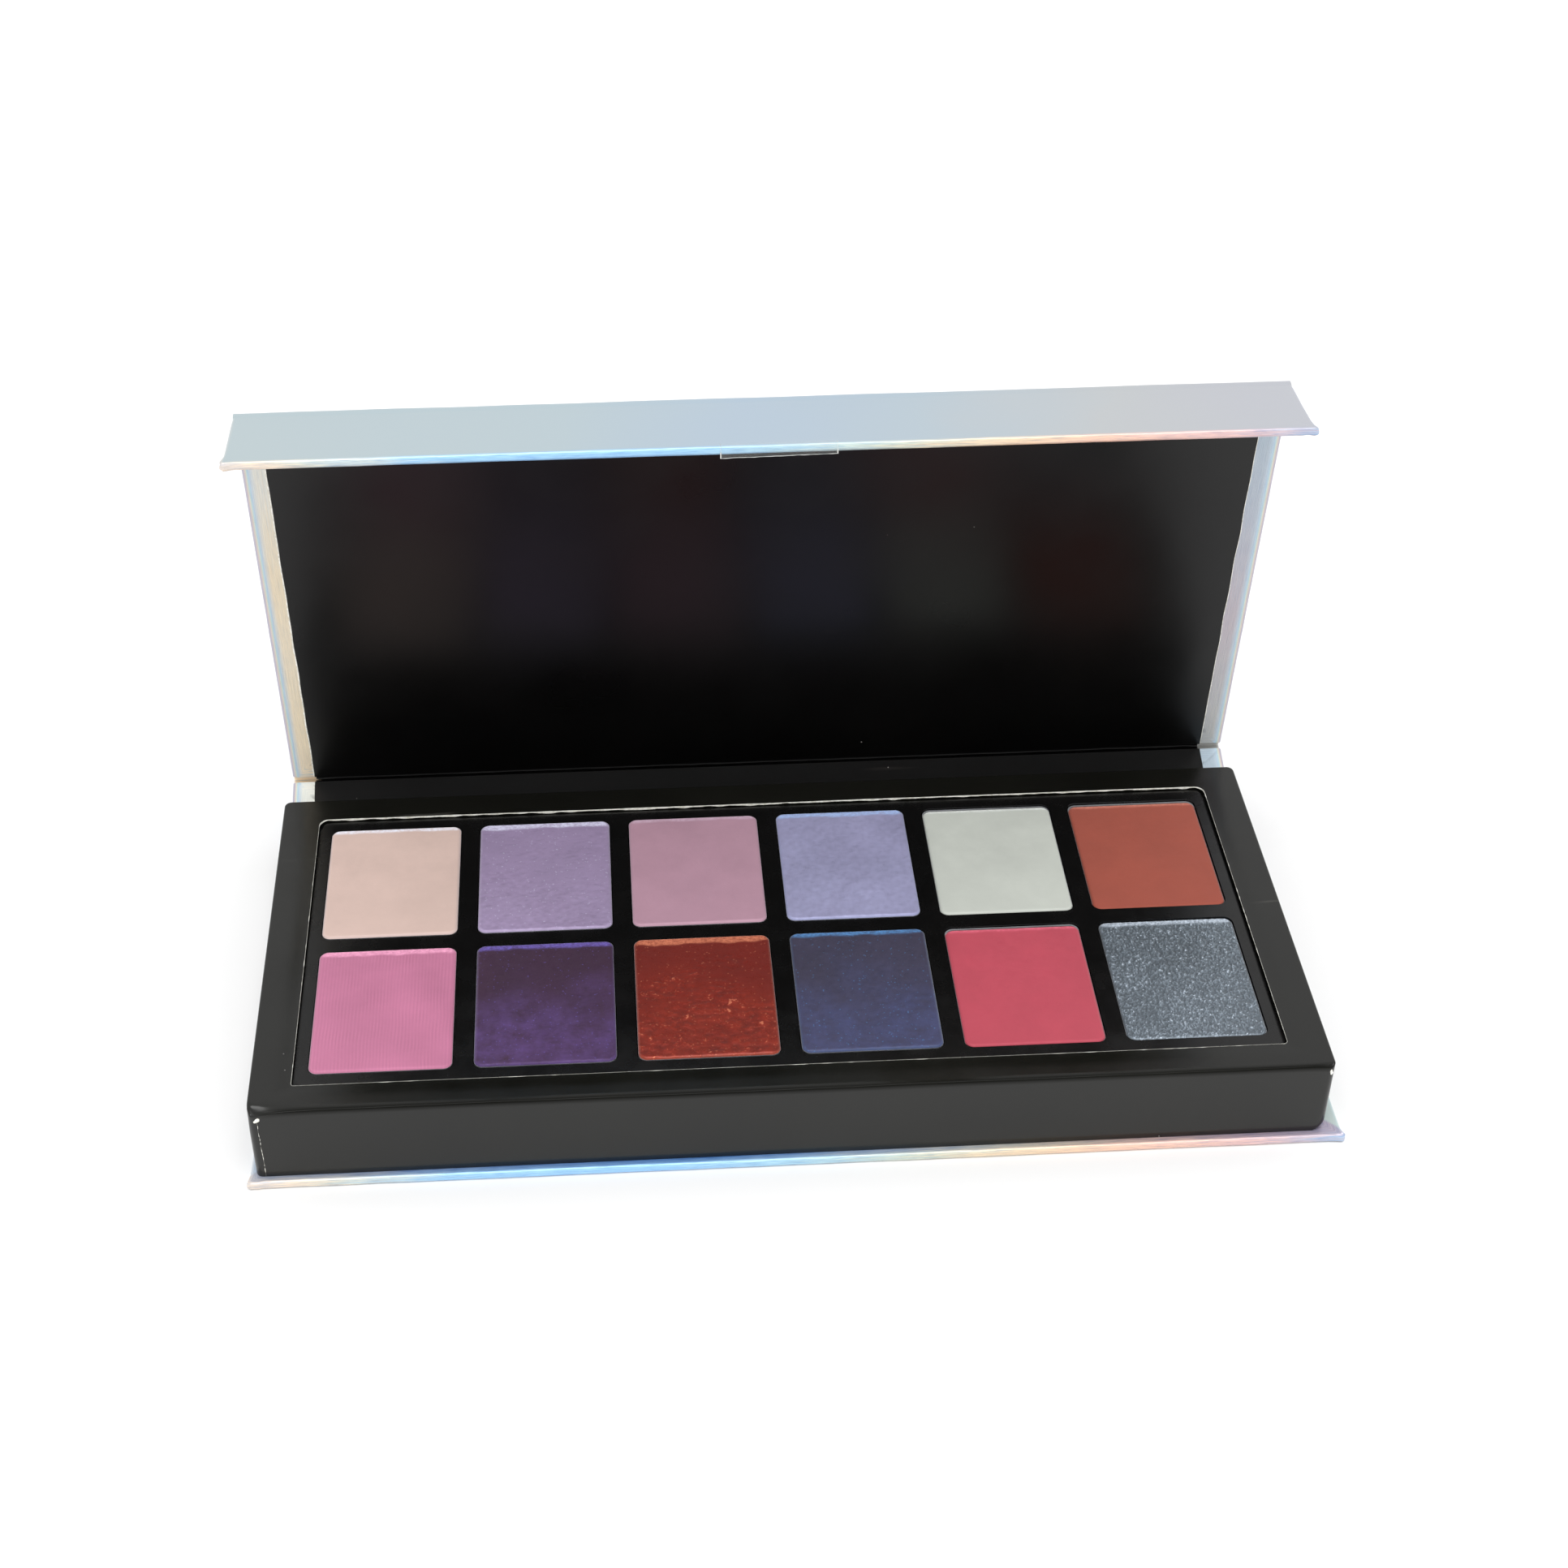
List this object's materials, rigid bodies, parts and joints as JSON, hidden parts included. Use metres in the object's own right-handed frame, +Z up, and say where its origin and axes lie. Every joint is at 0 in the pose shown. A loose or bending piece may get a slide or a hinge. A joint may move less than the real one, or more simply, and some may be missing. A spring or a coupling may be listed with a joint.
{
  "type": "eyeshadow palette",
  "caption": "Book-style hard cover case with a folding lid and front flap, holding a black tray of rectangular pressed powders in metal pans",
  "frame": {"origin": "centre of the base board's underside, the face the palette rests on", "axes": "+X along the palette's length to the user's right, -Y to the front where the flap closes, +Z up"},
  "size_m": [0.1758, 0.0994, 0.0912],
  "materials": {
    "grey_board": "bare grey board",
    "holographic_paper": "pearly holographic foil paper, satin with soft rainbow streaks",
    "black_lining": "satin black lining paper",
    "magnet": "nickel plated",
    "black_card": "matt black card",
    "insert_black": "slightly glossy black panel",
    "tinplate": "plain tinplate",
    "glue": "dried clear glue",
    "powder_back_1": "matt pressed powder, pale beige pink",
    "powder_back_2": "shimmer pressed powder, lavender",
    "powder_back_3": "satin pressed powder, dusty mauve",
    "powder_back_4": "shimmer pressed powder, periwinkle",
    "powder_back_5": "satin pressed powder, pale grey",
    "powder_back_6": "matt pressed powder, terracotta",
    "powder_front_1": "matt ribbed pressed powder, orchid pink",
    "powder_front_2": "metallic pressed powder, deep purple",
    "powder_front_3": "metallic pressed powder, copper red",
    "powder_front_4": "shimmer pressed powder, slate navy",
    "powder_front_5": "matt pressed powder, raspberry coral",
    "powder_front_6": "glitter pressed powder, blue grey",
    "clear_tape": "clear glossy adhesive tape",
    "tray_paper": "satin black paper"
  },
  "bodies": {
    "base": {"base_board": "grey_board", "base_hinge_tab": "holographic_paper", "base_liner": "black_lining", "base_wrap": "holographic_paper", "insert_floor": "black_card", "insert_panel": "insert_black", "insert_riser": "black_card", "pan_back_1": "tinplate", "pan_back_2": "tinplate", "pan_back_3": "tinplate", "pan_back_4": "tinplate", "pan_back_5": "tinplate", "pan_back_6": "tinplate", "pan_front_1": "tinplate", "pan_front_2": "tinplate", "pan_front_3": "tinplate", "pan_front_4": "tinplate", "pan_front_5": "tinplate", "pan_front_6": "tinplate", "pan_glue": "glue", "powder_back_1": "powder_back_1", "powder_back_2": "powder_back_2", "powder_back_3": "powder_back_3", "powder_back_4": "powder_back_4", "powder_back_5": "powder_back_5", "powder_back_6": "powder_back_6", "powder_front_1": "powder_front_1", "powder_front_2": "powder_front_2", "powder_front_3": "powder_front_3", "powder_front_4": "powder_front_4", "powder_front_5": "powder_front_5", "powder_front_6": "powder_front_6", "tray_back_wall": "grey_board", "tray_front_wall": "grey_board", "tray_left_wall": "grey_board", "tray_magnet_left": "magnet", "tray_magnet_right": "magnet", "tray_right_wall": "grey_board", "tray_top_card": "black_card", "tray_wrap": "tray_paper"},
    "spine": {"spine_board": "grey_board", "spine_hinge_tabs": "holographic_paper", "spine_liner": "black_lining", "spine_wrap": "holographic_paper"},
    "lid": {"lid_board": "grey_board", "lid_hinge_tabs": "holographic_paper", "lid_liner": "black_lining", "lid_wrap": "holographic_paper"},
    "flap": {"flap_board": "grey_board", "flap_hinge_tab": "holographic_paper", "flap_liner": "black_lining", "flap_magnet_left": "magnet", "flap_magnet_right": "magnet", "flap_wrap": "holographic_paper", "seal_tape": "clear_tape"}
  },
  "joints": [
    {"name": "spine_hinge", "type": "hinge", "parent": "base", "child": "spine", "pos_m": [0, 0.04199, 0], "axis": [1, 0, 0], "range_deg": [-19, 71]},
    {"name": "lid_hinge", "type": "hinge", "parent": "spine", "child": "lid", "pos_m": [0, 0.05937, 0.00598], "axis": [1, 0, 0], "range_deg": [-78, 12]},
    {"name": "flap_hinge", "type": "hinge", "parent": "lid", "child": "flap", "pos_m": [0, 0.04907, 0.08988], "axis": [1, 0, 0], "range_deg": [-79, 11]}
  ]
}
